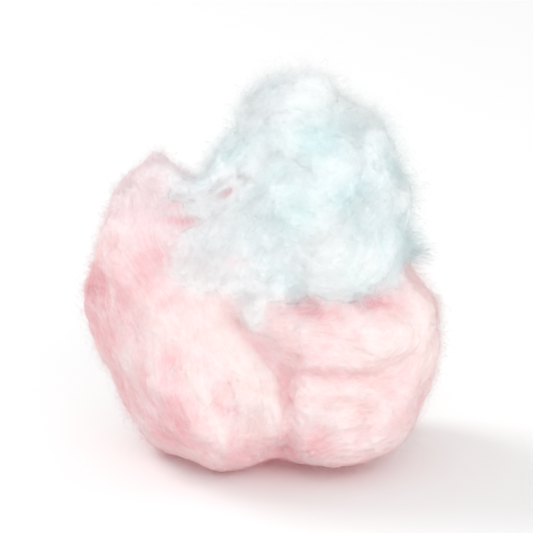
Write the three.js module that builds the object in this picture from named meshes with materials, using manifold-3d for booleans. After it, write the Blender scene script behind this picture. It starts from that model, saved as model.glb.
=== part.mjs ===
// Cotton candy: one tuft of spun sugar, pulled off by hand where a pink layer meets a blue one.
// The pink floss is the denser half. It is folded over itself into a round wad with a flat
// foot, a hollow on top and a horn of floss standing up at one side. The blue floss is the
// looser half: a lumpy dome that sits in the hollow and spills over its rim.
// Millimetres, +Z up, +Y to the back. The origin is the middle of the tuft's box, on the floor.
import * as THREE from "three";
import { ImprovedNoise } from "three/addons/math/ImprovedNoise.js";
import { mergeVertices } from "three/addons/utils/BufferGeometryUtils.js";
import Module from "manifold-3d";

const wasm = await Module();
wasm.setup();

// Driving dimensions: the box that the finished tuft fills.
const TUFT_WIDTH = 73;
const TUFT_DEPTH = 53;
const TUFT_HEIGHT = 82;

const LOBE_BLEND = 4; // how softly one fold runs into the next
const SEAT_BLEND = 3.5; // how softly the wad's rim rolls over into the hollow
const FLOSS_GAP = 0.3; // air between the two colours, so that they stay two solids
const PINK_FINENESS = 18; // subdivisions of the ball that each half starts from
const BLUE_FINENESS = 15;
const SAME_POINT = 1e-5; // points closer than this are one point

const AXIS_Y = new THREE.Vector3(0, 1, 0);
const noise = new ImprovedNoise();
const NOISE_START = new THREE.Vector3(7.3, 1.9, 4.1); // the place in the noise that is used

// One rounded fold of floss: an ellipsoid of half sizes reach, centred at at. Its upright axis
// leans to the right by lean degrees.
function lobe(at, reach, lean = 0) {
  return {
    centre: new THREE.Vector3(...at),
    reach: new THREE.Vector3(...reach),
    unturn: new THREE.Quaternion().setFromAxisAngle(AXIS_Y, -THREE.MathUtils.degToRad(lean)),
  };
}

// About how far a point is outside a lobe, less than 0 inside it.
function outsideLobe(point, { centre, reach, unturn }) {
  const local = point.clone().sub(centre).applyQuaternion(unturn);
  const scaled = local.clone().divide(reach);
  const steepness = scaled.clone().divide(reach).length();
  const size = scaled.length();
  return steepness > 0 ? (size * (size - 1)) / steepness : -Math.min(...reach.toArray());
}

// The lower of two distances, rounded over where they are within blend of each other.
function softMin(a, b, blend) {
  const share = Math.max(blend - Math.abs(a - b), 0) / blend;
  return Math.min(a, b) - (share * share * blend) / 4;
}

const softMax = (a, b, blend) => -softMin(-a, -b, blend);

// A crease pressed into one face of the wad along a bent line, or a ridge where depth is negative.
// from, by and to are [x, z]. The face is FRONT or BACK.
const FRONT = -1;
const BACK = 1;
const CREASE_STEPS = 16;
const FACE_STARTS = 2; // a crease fades in between these two distances from the middle plane
const FACE_WHOLE = 12;
function crease(face, from, by, to, depth, width) {
  const bend = new THREE.QuadraticBezierCurve(
    new THREE.Vector2(...from),
    new THREE.Vector2(...by),
    new THREE.Vector2(...to),
  );
  return { face, path: bend.getPoints(CREASE_STEPS), depth, width };
}

// How deep a crease is at a point of the skin.
function creaseDepth(point, { face, path, depth, width }) {
  const seen = new THREE.Vector2(point.x, point.z);
  const away = Math.min(...path.map((spot) => spot.distanceTo(seen)));
  const facing = THREE.MathUtils.smoothstep(face * point.y, FACE_STARTS, FACE_WHOLE);
  return depth * facing * Math.exp(-((away / width) ** 2));
}

// Soft lumps of one size, up to height high.
function lumps(point, size, height) {
  const { x, y, z } = point.clone().divideScalar(size).add(NOISE_START);
  return height * noise.noise(x, y, z);
}

// A closed skin over a shape. A ball is laid round it, and each of the ball's points slides in
// towards the focus until outside(point) is 0.
const SLIDE_STEPS = 60;
const HALVINGS = 14;
function skin(outside, middle, reach, focus, fineness) {
  const ball = new THREE.IcosahedronGeometry(1, fineness);
  ball.deleteAttribute("normal");
  ball.deleteAttribute("uv");
  const geometry = mergeVertices(ball, SAME_POINT);
  const places = geometry.getAttribute("position");
  const start = new THREE.Vector3();
  const point = new THREE.Vector3();
  for (let i = 0; i < places.count; i += 1) {
    start.fromBufferAttribute(places, i).multiply(reach).add(middle);
    const at = (share) => point.lerpVectors(start, focus, share);
    let inner = 0;
    while (inner < 1 && outside(at(inner)) > 0) inner += 1 / SLIDE_STEPS;
    let outer = inner - 1 / SLIDE_STEPS;
    for (let n = 0; n < HALVINGS; n += 1) {
      const half = (inner + outer) / 2;
      if (outside(at(half)) > 0) outer = half;
      else inner = half;
    }
    at(inner);
    places.setXYZ(i, point.x, point.y, point.z);
  }
  return geometry;
}

function solidOf(geometry) {
  return new wasm.Manifold(
    new wasm.Mesh({
      numProp: 3,
      vertProperties: geometry.getAttribute("position").array,
      triVerts: new Uint32Array(geometry.index.array),
    }),
  );
}

function geometryOf(solid) {
  const mesh = solid.getMesh();
  return new THREE.BufferGeometry()
    .setAttribute("position", new THREE.BufferAttribute(mesh.vertProperties, 3))
    .setIndex(new THREE.BufferAttribute(mesh.triVerts, 1));
}

// Everything below the floor, which the foot is pressed flat against.
function floorBlock() {
  const side = 3 * TUFT_HEIGHT;
  const block = new THREE.BoxGeometry(side, side, side).translate(0, 0, -side / 2);
  block.deleteAttribute("normal");
  block.deleteAttribute("uv");
  return solidOf(mergeVertices(block, SAME_POINT));
}

// Pink: the folds of the wad, and the hollow that the blue floss sits in.
const PINK_LOBES = [
  lobe([7, 3, 25], [28.5, 22, 25.5]), // body
  lobe([-9, 5, 18], [20, 20, 19.5]), // foot at the left
  lobe([-15, -6, 29], [13, 14, 28.5], -21), // long fold down the left
  lobe([-19, 3, 32], [16, 15, 17], -10), // left cheek
  lobe([14, -7, 14], [17, 13.5, 11.5]), // lower fold at the right
  lobe([16, -4, 30], [18, 16, 10.5], 4), // upper fold at the right
  lobe([-18.5, 1, 50], [9.5, 10, 14.5], 8), // horn
  lobe([-24.5, 3, 50], [5, 7, 8.5], 6), // outer side of the horn
  lobe([-13, 14, 27], [17, 14, 20], 14), // left fold at the back
  lobe([15, 16, 20], [17, 13, 14], 20), // right fold at the back
  lobe([4, 19, 35], [20, 9, 8], 6), // fold under the rim at the back
];
const PINK_MIDDLE = new THREE.Vector3(0, 2, 30);
const PINK_REACH = new THREE.Vector3(40, 34, 44);
const PINK_FOCUS = new THREE.Vector3(-3, 1, 16);
const SEAT = lobe([11, -1, 57], [22.5, 22, 20]);
const PINK_CREASES = [
  crease(FRONT, [-10, 42], [0, 34], [4, 25], 1.6, 2.2), // beside the long fold, upper half
  crease(FRONT, [4, 26], [6, 18], [4.5, 7], 2.2, 2.2), // beside the long fold, lower half
  crease(FRONT, [4, 24], [16, 21], [28, 24], 1.3, 2.2), // between the two right folds
  crease(FRONT, [3, 39], [11, 38], [18, 32], 1.8, 1.8), // under the spilled blue floss
  crease(FRONT, [-14, 26], [-12, 14], [-5, 5], -1.1, 2.2), // ridge down the long fold
  crease(FRONT, [-10, 17], [-8, 13], [-4, 14], 1.0, 1.6), // dimple beside the ridge
  crease(FRONT, [-31, 40], [-24, 34], [-16, 40], 0.9, 2.0), // pinch below the horn
  crease(FRONT, [-26, 54], [-20, 50], [-13, 52], 1.2, 1.8), // slit across the horn
  crease(FRONT, [10, 14], [18, 12], [26, 14], 0.8, 1.6), // shallow crease low at the right
  crease(BACK, [-14, 44], [2, 32], [8, 9], 2.4, 2.4), // across the back, top left to bottom right
  crease(BACK, [6, 27], [16, 31], [29, 25], 1.8, 2.2), // branches off it to the right
  crease(BACK, [-29, 38], [-18, 28], [-20, 12], 1.4, 2.2), // down the left of the back
];

// About how far a point is outside all the lobes, run softly into each other.
function outsideLobes(point, lobes) {
  return lobes
    .map((one) => outsideLobe(point, one))
    .reduce((a, b) => softMin(a, b, LOBE_BLEND));
}

function outsidePink(point) {
  const folds = outsideLobes(point, PINK_LOBES);
  const wad = softMax(folds, -outsideLobe(point, SEAT), SEAT_BLEND);
  const pressed = PINK_CREASES.reduce((sum, one) => sum + creaseDepth(point, one), 0);
  return wad + pressed - lumps(point, 9, 1.6) - lumps(point, 4.5, 0.6);
}

// Blue: the lumps of the dome.
const BLUE_LOBES = [
  lobe([11, 1, 54], [18, 18, 20]), // body of the dome
  lobe([7, 2, 69], [11.5, 11, 12.5], -2), // crown
  lobe([19, 3, 59], [10.5, 13, 13], -14), // right shoulder
  lobe([15, -8.5, 47], [13, 12, 10.5]), // spill over the front rim
  lobe([-4, -7, 49], [7, 10, 14.5], -38), // thin side that leans on the horn
  lobe([30, 0, 45], [8, 3.5, 3], 15), // wisp at the right
  lobe([5, 10, 52], [16, 14, 16]), // back
];
const BLUE_MIDDLE = new THREE.Vector3(9, 1, 54);
const BLUE_REACH = new THREE.Vector3(37, 37, 40);
const BLUE_FOCUS = new THREE.Vector3(9, 0, 48);

function outsideBlue(point) {
  return outsideLobes(point, BLUE_LOBES) - lumps(point, 9, 2) - lumps(point, 4.5, 0.8);
}

// The wad, or the wad grown by a little on every side.
function makePink(grown = 0) {
  const outside = (point) => outsidePink(point) - grown;
  return solidOf(skin(outside, PINK_MIDDLE, PINK_REACH, PINK_FOCUS, PINK_FINENESS));
}

const pinkSolid = makePink().subtract(floorBlock());
const blueSolid = solidOf(
  skin(outsideBlue, BLUE_MIDDLE, BLUE_REACH, BLUE_FOCUS, BLUE_FINENESS),
).subtract(makePink(FLOSS_GAP));

// Both halves are moved over the origin and brought to the driving size together.
const drawn = new THREE.Box3();
for (const solid of [pinkSolid, blueSolid]) {
  const { min, max } = solid.boundingBox();
  drawn.expandByPoint(new THREE.Vector3(...min)).expandByPoint(new THREE.Vector3(...max));
}
const middle = drawn.getCenter(new THREE.Vector3()).setZ(drawn.min.z);
const fit = new THREE.Vector3(TUFT_WIDTH, TUFT_DEPTH, TUFT_HEIGHT).divide(
  drawn.getSize(new THREE.Vector3()),
);

function floss(name, solid, color) {
  const placed = solid.translate(middle.clone().negate().toArray()).scale(fit.toArray());
  const material = new THREE.MeshStandardMaterial({ color, roughness: 0.95, metalness: 0 });
  const mesh = new THREE.Mesh(geometryOf(placed), material);
  mesh.name = name;
  return mesh;
}

const tuft = new THREE.Group();
tuft.name = "cotton_candy";
tuft.add(floss("pink_floss", pinkSolid, 0xf9d3d6));
tuft.add(floss("blue_floss", blueSolid, 0xdcf0f1));

export default tuft;
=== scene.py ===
# %% [markdown]
# # A pulled tuft of cotton candy
# Cotton candy is sugar that was melted, spun through tiny holes and caught as threads finer than
# a hair. Pulled off by hand, it folds over itself like cotton wool: a dense pink wad below and a
# looser pale blue dome on top. The solids give the big folds. Here each solid becomes a soft body
# of matted floss, and tens of thousands of thin sugar threads are laid over it.

# %% Load the solids
import math

import bpy
import numpy as np
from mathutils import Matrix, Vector
from mathutils.bvhtree import BVHTree


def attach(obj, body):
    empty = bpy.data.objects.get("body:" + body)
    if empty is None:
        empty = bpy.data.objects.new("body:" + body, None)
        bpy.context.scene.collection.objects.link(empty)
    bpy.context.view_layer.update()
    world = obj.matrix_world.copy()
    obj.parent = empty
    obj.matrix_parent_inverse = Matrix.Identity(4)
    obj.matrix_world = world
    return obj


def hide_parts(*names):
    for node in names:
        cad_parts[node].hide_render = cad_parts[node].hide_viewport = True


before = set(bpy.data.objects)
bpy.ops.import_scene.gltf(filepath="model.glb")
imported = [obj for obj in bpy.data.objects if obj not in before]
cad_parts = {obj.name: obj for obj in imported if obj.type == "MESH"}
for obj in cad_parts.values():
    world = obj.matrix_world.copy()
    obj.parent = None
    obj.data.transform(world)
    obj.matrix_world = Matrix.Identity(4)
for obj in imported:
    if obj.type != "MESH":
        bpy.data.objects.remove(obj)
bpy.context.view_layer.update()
MM = 0.001
scene = bpy.context.scene
print("solids:", sorted(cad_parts))

# %% [markdown]
# ## Camera
# The tuft is looked at slightly from above, from just under a metre away, with a long lens. A
# long lens keeps the near and far folds at nearly the same size. The camera is aimed with a
# quaternion made from the viewing direction, which needs no constraint to be baked later.

# %% Camera
VIEW_DISTANCE = 0.94
VIEW_ELEVATION = math.radians(16.5)
SEEN_HEIGHT = 0.106
SENSOR = 36.0
aim = Vector((0.0005, 0.0, 0.0392))
towards_camera = Vector((0, -math.cos(VIEW_ELEVATION), math.sin(VIEW_ELEVATION)))

camera = bpy.data.objects.new("camera", bpy.data.cameras.new("camera"))
scene.collection.objects.link(camera)
camera.location = aim + VIEW_DISTANCE * towards_camera
camera.rotation_euler = towards_camera.to_track_quat("Z", "Y").to_euler()
camera.data.sensor_width = SENSOR
camera.data.lens = SENSOR * VIEW_DISTANCE / SEEN_HEIGHT
scene.camera = camera
print(f"lens {camera.data.lens:.0f} mm")

# %% [markdown]
# ## Light
# Spun sugar scatters nearly all the light that it meets, so a small hard lamp would burn out its
# top and blacken its folds. Large soft panels and a bright surround let the light creep into the
# creases. The smallest panel stands at the left and a little behind, which throws a soft grey
# shadow to the right. A large fill stands low in front, where it lights the folds and hardly
# touches the floor, so the shadow stays. A weak third one keeps the right side from going dull.

# %% Surround and panels
KEY_POWER = 3.4
FILL_POWER = 5.8
SIDE_POWER = 1.5
SURROUND = 0.82


def panel(name, azimuth, elevation, distance, size, power):
    """A square light aimed at the tuft. Azimuth 0 is the camera's side, 90 the right."""
    turn, rise = math.radians(azimuth), math.radians(elevation)
    away = Vector((math.sin(turn) * math.cos(rise), -math.cos(turn) * math.cos(rise), math.sin(rise)))
    lamp = bpy.data.objects.new(name, bpy.data.lights.new(name, "AREA"))
    scene.collection.objects.link(lamp)
    lamp.data.size = size
    lamp.data.energy = power
    lamp.location = aim + distance * away
    lamp.rotation_euler = away.to_track_quat("Z", "Y").to_euler()
    return lamp


panel("key_light", -115, 42, 0.9, 0.4, KEY_POWER)
panel("fill_light", 15, 18, 1.0, 0.9, FILL_POWER)
panel("side_light", 95, 10, 1.0, 0.7, SIDE_POWER)

surround = bpy.data.worlds.new("surround")
surround.use_nodes = True
surround.node_tree.nodes["Background"].inputs["Color"].default_value = (1, 1, 1, 1)
surround.node_tree.nodes["Background"].inputs["Strength"].default_value = SURROUND
scene.world = surround
scene.view_settings.view_transform = "Standard"
scene.cycles.max_bounces = 32
scene.cycles.diffuse_bounces = 24
scene.cycles.transmission_bounces = 24

# %% [markdown]
# ## Floor
# A plain pale surface that takes the soft shadow. It is a little darker than white paper, because
# the panels would burn a whiter one out and the shadow with it.

# %% Floor
FLOOR_PALE = (0.83, 0.83, 0.83, 1)

bpy.ops.object.select_all(action="DESELECT")
bpy.ops.mesh.primitive_plane_add(size=6)
floor = bpy.context.object
floor.name = "floor"
floor_matt = bpy.data.materials.new("floor_matt")
floor_matt.use_nodes = True
floor_matt.node_tree.nodes["Principled BSDF"].inputs["Base Color"].default_value = FLOOR_PALE
floor_matt.node_tree.nodes["Principled BSDF"].inputs["Roughness"].default_value = 0.9
floor.data.materials.append(floor_matt)
print("floor", floor.dimensions.x, "m wide")

# %% [markdown]
# ## Which way the floss runs
# Pulling draws the threads out along each fold. Here the threads follow the contour lines of a
# made-up height, as a path round a hill stays level. For the long fold at the left that height
# grows across the fold, for the folds at the right it grows upwards, and soft random waves make
# the contours wander. One height then serves for the fine wrinkles of the bodies and for the
# threads that are laid on them, so the two always agree.

# %% Heights whose contour lines the floss follows
WAVE_COUNT = 14
CREASE_X = 3 * MM
CREASE_Z = 20 * MM
CREASE_LEAN = 0.33
CREASE_SOFTNESS = 1.6 * MM
FOLD_LEAN = 0.38


def unit(vectors):
    return vectors / np.maximum(np.linalg.norm(vectors, axis=-1, keepdims=True), 1e-12)


def ramp(values, start, end):
    """0 at start, 1 at end, straight between them."""
    return np.clip((values - start) / (end - start), 0, 1)


def waves(points, size, height, seed):
    """Smooth random numbers, a sum of waves about size long and in all about height high."""
    draw = np.random.default_rng(seed)
    lengths = size * draw.uniform(0.7, 1.5, (WAVE_COUNT, 1))
    ways = unit(draw.normal(size=(WAVE_COUNT, 3))) * 2 * np.pi / lengths
    phases = draw.uniform(0, 2 * np.pi, WAVE_COUNT)
    return height * np.sqrt(2 / WAVE_COUNT) * np.sin(points @ ways.T + phases).sum(axis=1)


def pink_height(points):
    x, y, z = points.T
    left = x + 0.1 * y + FOLD_LEAN * z
    right = -0.12 * x + 0.05 * y + z
    past = (x + CREASE_LEAN * (z - CREASE_Z) - CREASE_X) / CREASE_SOFTNESS
    share = 1 / (1 + np.exp(np.clip(past, -50, 50)))
    return share * left + (1 - share) * right + waves(points, 26 * MM, 2.2 * MM, 11)


def blue_height(points):
    x, y, z = points.T
    return 0.8 * z - 0.6 * x + 0.2 * y + waves(points, 20 * MM, 2.4 * MM, 12)


def veil_height(points):
    x, y, z = points.T
    return z - 0.6 * x + waves(points, 12 * MM, 1.6 * MM, 13)


# %% [markdown]
# ## Bodies of matted floss
# Under its loose threads the floss is matted into a soft body. It could be sculpted by hand, but
# the solid already has the folds, so a copy of it is merged and remeshed to even faces.

# %% Copy a solid and give it even faces
EVEN_FACE = 0.45 * MM


def only(piece):
    bpy.ops.object.select_all(action="DESELECT")
    piece.select_set(True)
    bpy.context.view_layer.objects.active = piece


def applied(piece, kind, **settings):
    """One modifier, set and applied at once."""
    only(piece)
    modifier = piece.modifiers.new(kind.lower(), kind)
    for name, value in settings.items():
        setattr(modifier, name, value)
    bpy.ops.object.modifier_apply(modifier=modifier.name)


def evened(piece, rounds):
    applied(piece, "REMESH", mode="VOXEL", voxel_size=EVEN_FACE, use_smooth_shade=True)
    applied(piece, "SMOOTH", factor=0.5, iterations=rounds)
    print(piece.name, "has", len(piece.data.polygons), "even faces")


def body_from(node, name):
    piece = bpy.data.objects.new(name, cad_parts[node].data.copy())
    scene.collection.objects.link(piece)
    piece.data.materials.clear()
    only(piece)
    bpy.ops.object.mode_set(mode="EDIT")
    bpy.ops.mesh.select_all(action="SELECT")
    bpy.ops.mesh.remove_doubles(threshold=0.001 * MM)
    bpy.ops.object.mode_set(mode="OBJECT")
    evened(piece, 10)
    return piece


pink_wad = body_from("pink_floss", "pink_wad")
blue_dome = body_from("blue_floss", "blue_dome")

# %% [markdown]
# ## Drawing on the front
# Several features are drawn on the front, as with chalk: a line or an oval in millimetres to the
# right and up as the camera sees it. A stroke is 1 on its line and a patch is 1 in the middle of
# its oval, and both fade to 0 beside it and where the surface turns away from the front. A bare
# oval goes right through the tuft, which suits the brushes that shape its outline.

# %% Read and move a mesh's vertices
def numbers(piece, what):
    found = np.empty(len(piece.data.vertices) * 3)
    piece.data.vertices.foreach_get(what, found)
    return found.reshape(-1, 3)


def places(piece):
    return numbers(piece, "co")


def outwards(piece):
    return numbers(piece, "normal")


def moved_to(piece, new_places):
    piece.data.vertices.foreach_set("co", new_places.ravel())
    piece.data.update()


def on_the_floor(points, lowest=0.0):
    """What would reach below the floor is pressed flat on it."""
    points[..., 2] = np.maximum(points[..., 2], lowest)
    return points


# %% Draw on the front
picture_up = np.array([0, math.sin(VIEW_ELEVATION), math.cos(VIEW_ELEVATION)])


def seen(points):
    """Millimetres to the right and up, as the camera sees the points."""
    return np.stack([points[:, 0], points @ picture_up], axis=1) / MM


def facing(outs):
    """1 where the surface faces the camera, falling to 0 where it turns away."""
    return ramp(outs @ np.array(towards_camera), 0.0, 0.45)


def rounded(corners, rounds=3):
    """The same line with its corners cut off, again and again, until it is a curve."""
    line = np.array(corners, float)
    for _ in range(rounds):
        near = 0.75 * line[:-1] + 0.25 * line[1:]
        far = 0.25 * line[:-1] + 0.75 * line[1:]
        line = np.vstack([line[:1], np.stack([near, far], axis=1).reshape(-1, 2), line[-1:]])
    return line


def beside(spots, line):
    """Distance to a line, the side of it (-1 left of a line drawn downwards), and share along it."""
    starts, ends = line[:-1], line[1:]
    steps = ends - starts
    lengths = np.linalg.norm(steps, axis=1)
    reached = np.concatenate([[0], np.cumsum(lengths)])
    away = np.full(len(spots), np.inf)
    side = np.ones(len(spots))
    share = np.zeros(len(spots))
    for start, step, length, before in zip(starts, steps, lengths, reached):
        offset = spots - start
        along = np.clip(offset @ step / length**2, 0, 1)
        gap = np.linalg.norm(offset - along[:, None] * step, axis=1)
        closer = gap < away
        away[closer] = gap[closer]
        turn = step[0] * offset[:, 1] - step[1] * offset[:, 0]
        side[closer] = np.where(turn[closer] < 0, -1, 1)
        share[closer] = (before + along[closer] * length) / reached[-1]
    return away, side, share


def oval(points, at, reach, turn=0):
    """1 in the middle of an oval in the picture, falling softly to 0 outside it."""
    lean = math.radians(turn)
    across = np.array([[math.cos(lean), -math.sin(lean)], [math.sin(lean), math.cos(lean)]])
    local = (seen(points) - np.array(at)) @ across / np.array(reach)
    return np.exp(-np.sum(local**2, axis=1))


def patch(points, outs, at, reach, turn=0):
    """An oval on the part of the surface that faces the camera."""
    return oval(points, at, reach, turn) * facing(outs)


def stroke(points, outs, wide, corners):
    """1 along a line, falling softly to 0 beside it and towards its ends."""
    away, _, share = beside(seen(points), rounded(corners))
    return np.exp(-((away / wide) ** 2)) * ramp(share, 0, 0.15) * ramp(share, 1, 0.85) * facing(outs)


# %% [markdown]
# ## One skin over both colours
# The two colours were pulled from one floss, so there is no gap between them. Copies of both
# bodies are swollen until they touch, joined and remeshed as one skin. All the shaping and
# colouring is done once, on this skin, and the bodies take it over later.

# %% The skin
SWELL = 0.25 * MM


def copy_of(piece, name):
    copy = bpy.data.objects.new(name, piece.data.copy())
    scene.collection.objects.link(copy)
    return copy


def joined(pieces):
    bpy.ops.object.select_all(action="DESELECT")
    for piece in pieces:
        piece.select_set(True)
    bpy.context.view_layer.objects.active = pieces[0]
    bpy.ops.object.join()
    return pieces[0]


skin = joined([copy_of(pink_wad, "skin"), copy_of(blue_dome, "skin_too")])
applied(skin, "DISPLACE", strength=SWELL, mid_level=0)
evened(skin, 4)

# %% Search trees
def triangles_of(piece):
    piece.data.calc_loop_triangles()
    found = np.empty(len(piece.data.loop_triangles) * 3, np.int32)
    piece.data.loop_triangles.foreach_get("vertices", found)
    return found.reshape(-1, 3)


def tree_of(piece):
    return BVHTree.FromPolygons(places(piece).tolist(), triangles_of(piece).tolist())


def nearest(tree, points):
    """Nearest place on a surface, its outward direction, its triangle and the gap, for each point."""
    found = [tree.find_nearest(point) for point in points.tolist()]
    spots, outs, faces, gaps = zip(*found)
    return np.array(spots), np.array(outs), np.array(faces), np.array(gaps)


# %% [markdown]
# ## Drape the veil
# Between the horn and the dome a veil of floss hangs over the gap. It could be draped as cloth,
# but here it clings to what it covers and only bridges the hollows. So the front of the skin is
# measured as a grid of depths, seen from the camera. Blurring the grid and lifting it back to the
# ridges, again and again, stretches a sheet from ridge to ridge. Inside a few ovals each point of
# the skin is then moved along the view until it lies on that sheet.

# %% Drape the front of the skin
GRID_STEP = 0.5
GRID_ACROSS = np.arange(-34, 14, GRID_STEP)
GRID_UP = np.arange(20, 68, GRID_STEP)
DRAPE_BLUR = 2.0
DRAPE_ROUNDS = 30
DRAPE_LAYER = 4.0
DRAPES = [  # place, reach and turn
    ((-14, 47.5), (7.5, 10.5), -8),
    ((-10, 56.5), (5, 5), 30),
    ((-10, 38), (9, 7), 15),
    ((-1, 33), (7, 4.5), 0),
    ((-1.5, 28.5), (4.5, 4), 0),
]
CLOSING = 0.6 * MM


def dropped(tree, spots):
    """Points in the picture, in millimetres, brought down on a surface. Missed ones become nan."""
    towards = np.array(towards_camera)
    starts = spots[:, :1] * MM * np.array([1, 0, 0]) + spots[:, 1:] * MM * picture_up + 0.2 * towards
    hits = [tree.ray_cast(start, -towards)[:2] for start in starts.tolist()]
    nowhere = (math.nan, math.nan, math.nan)
    points = np.array([hit if hit is not None else nowhere for hit, _ in hits])
    outs = np.array([out if hit is not None else towards for hit, out in hits])
    return points, outs


def blurred(grid, wide):
    steps = np.arange(-3 * wide, 3 * wide + 0.1, GRID_STEP)
    weights = np.exp(-((steps / wide) ** 2) / 2)
    for axis in (0, 1):
        grid = np.apply_along_axis(np.convolve, axis, grid, weights, mode="same")
    return grid


def read_grid(grid, spots):
    """The value of a grid at points in the picture, straight between its nearest four."""
    column = np.clip((spots[:, 0] - GRID_ACROSS[0]) / GRID_STEP, 0, len(GRID_ACROSS) - 1.001)
    row = np.clip((spots[:, 1] - GRID_UP[0]) / GRID_STEP, 0, len(GRID_UP) - 1.001)
    i, j = row.astype(int), column.astype(int)
    a, b = row - i, column - j
    low = grid[i, j] * (1 - b) + grid[i, j + 1] * b
    high = grid[i + 1, j] * (1 - b) + grid[i + 1, j + 1] * b
    return low * (1 - a) + high * a


grid_spots = np.stack(np.meshgrid(GRID_ACROSS, GRID_UP), axis=-1)
grid_points = dropped(tree_of(skin), grid_spots.reshape(-1, 2))[0]
depth_grid = (grid_points @ np.array(towards_camera)).reshape(grid_spots.shape[:2]) / MM
there = np.isfinite(depth_grid)
depth_grid = np.where(there, depth_grid, 0)
weight = np.maximum(blurred(there * 1.0, DRAPE_BLUR), 1e-6)
sheet_grid = depth_grid
for _ in range(DRAPE_ROUNDS):
    sheet_grid = there * np.maximum(blurred(sheet_grid, DRAPE_BLUR) / weight, depth_grid)
sheet_grid = blurred(sheet_grid, DRAPE_BLUR) / weight

points = places(skin)
depth = points @ np.array(towards_camera) / MM
front = read_grid(depth_grid, seen(points))
draped = np.clip(1.5 * sum(oval(points, *where) for where in DRAPES), 0, 1)
draped *= ramp(depth, front - DRAPE_LAYER, front - 1)
move = draped * (read_grid(sheet_grid, seen(points)) - depth)
moved_to(skin, points + move[:, None] * MM * np.array(towards_camera))
print("draped by", move.min().round(1), "to", move.max().round(1), "mm")

# %% [markdown]
# Draping leaves a few narrow tunnels at the sheet's rim. Swelling the skin, remeshing it and
# shrinking it again closes them and leaves the rest as it was.

# %% Close the tunnels
applied(skin, "DISPLACE", strength=CLOSING, mid_level=0)
evened(skin, 4)
applied(skin, "DISPLACE", strength=-CLOSING, mid_level=0)

# %% [markdown]
# ## Pluck the outline
# The outline gets its last shape as with a sculptor's grab brush: what lies inside an oval is
# dragged a few millimetres across the picture. It sharpens the tip of the horn, and takes back
# the crown and the spur at the right, where only loose threads are to stand out later.

# %% Grab
GRABS = [  # place, reach and turn, then how far to the right and up, in millimetres
    ((-14.5, 61), (4.5, 4.5), 0, -1.0, -5.0),
    ((-26.5, 60.5), (3.0, 3.0), 0, 0.6, -2.0),
    ((7, 80), (9, 5), 0, -0.5, -2.2),
    ((35, 42), (5, 4), 0, -4.5, 0.3),
    ((28, 60), (6, 9), 25, -1.5, -0.8),
    ((-37, 28.5), (4, 5), 0, 1.2, 0.0),
]

points = places(skin)
grabbed = np.zeros_like(points)
for at, reach, turn, right, up in GRABS:
    drag = right * np.array([1, 0, 0]) + up * picture_up
    grabbed += oval(points, at, reach, turn)[:, None] * drag * MM
moved_to(skin, points + grabbed)
evened(skin, 2)

# %% [markdown]
# The spur at the right and the rim of the notch are still too knobbly for floss. A smooth brush
# rubs them down: a vertex group says where the Smooth modifier works, and how much. Smoothing
# crowds the vertices at a tip, and slows down there, so the faces are evened between the rounds.

# %% Smooth brush
RUBBED = [  # place, reach and turn
    ((34, 42), (6, 4.5), 0),
    ((-9.5, 58), (5, 4), 30),
    ((-15, 57.5), (3.5, 3), 0),
    ((-18.8, 52.8), (2.6, 2.6), 0),
]
RUBS = 3
RUB_ROUNDS = 60

for _ in range(RUBS):
    rubbed = np.clip(1.5 * sum(oval(places(skin), *where) for where in RUBBED), 0, 1)
    softer = skin.vertex_groups.new(name="softer")
    for index in np.flatnonzero(rubbed > 0.02).tolist():
        softer.add([index], rubbed[index], "REPLACE")
    applied(skin, "SMOOTH", factor=0.5, iterations=RUB_ROUNDS, vertex_group="softer")
    skin.vertex_groups.clear()
    evened(skin, 1)

# %% [markdown]
# ## How blue, and how veiled
# A search tree finds the distance from any point to either body, and the difference of the two
# distances says how blue the skin is there. The veil is drawn on the front with ovals, and
# random waves tear its edge.

# %% How blue and how veiled each point of the skin is
SEAM_SOFTNESS = 2.0 * MM
VEIL_PATCHES = [  # place, reach and turn
    ((-10, 48), (6.0, 9), -20),
    ((-16.2, 55), (3.2, 4.6), 10),
    ((-13.5, 37.5), (5, 4.5), 0),
    ((-5, 36), (6.5, 5), 10),
    ((-1.4, 29.5), (2.2, 3.6), 0),
]
VEIL_HOLES = [
    ((-16.6, 46.5), (5.4, 1.7), -3),
    ((-17.6, 49.4), (2.4, 1.2), 0),
    ((-7.8, 52.2), (2.4, 1.0), 32),
]


points, outs = places(skin), outwards(skin)
closed = 1 - np.clip(sum(patch(points, outs, *where) for where in VEIL_HOLES), 0, 1)
over = sum(patch(points, outs, *where) for where in VEIL_PATCHES)
torn = waves(points, 5 * MM, 0.13, 61) + waves(points, 1.8 * MM, 0.10, 65)
veil = closed * ramp(over + torn, 0.15, 0.85)
nearer_blue = nearest(tree_of(pink_wad), points)[3] - nearest(tree_of(blue_dome), points)[3]
torn = waves(points, 9 * MM, 0.9 * MM, 66) + waves(points, 3 * MM, 0.5 * MM, 67)
blue = closed * np.clip(0.5 + (nearer_blue + torn) / (2 * SEAM_SOFTNESS), 0, 1)
print(f"blue {blue.mean():.0%} and veiled {veil.mean():.0%} of the skin")

# %% [markdown]
# ## Billows, fold edges, pits and wrinkles
# Clouds of two sizes push the skin out into billows and tufts. Where one fold laps over the next,
# the floss drops over a soft edge: the floss on one side of a drawn line is raised and the other
# side is pressed in. A few pits, where the floss has torn open, and wrinkles along the pull are
# added in the same way.

# %% Billows and tufts
BILLOW = 1.0 * MM
TUFT = 0.5 * MM
BLUE_THINNER = 0.9 * MM


def clouds(name, size):
    texture = bpy.data.textures.new(name, "CLOUDS")
    texture.noise_scale = size
    texture.noise_depth = 1
    return texture


applied(skin, "DISPLACE", texture=clouds("billows", 7 * MM), strength=BILLOW, texture_coords="LOCAL")
applied(skin, "DISPLACE", texture=clouds("tufts", 2.8 * MM), strength=TUFT, texture_coords="LOCAL")

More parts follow.
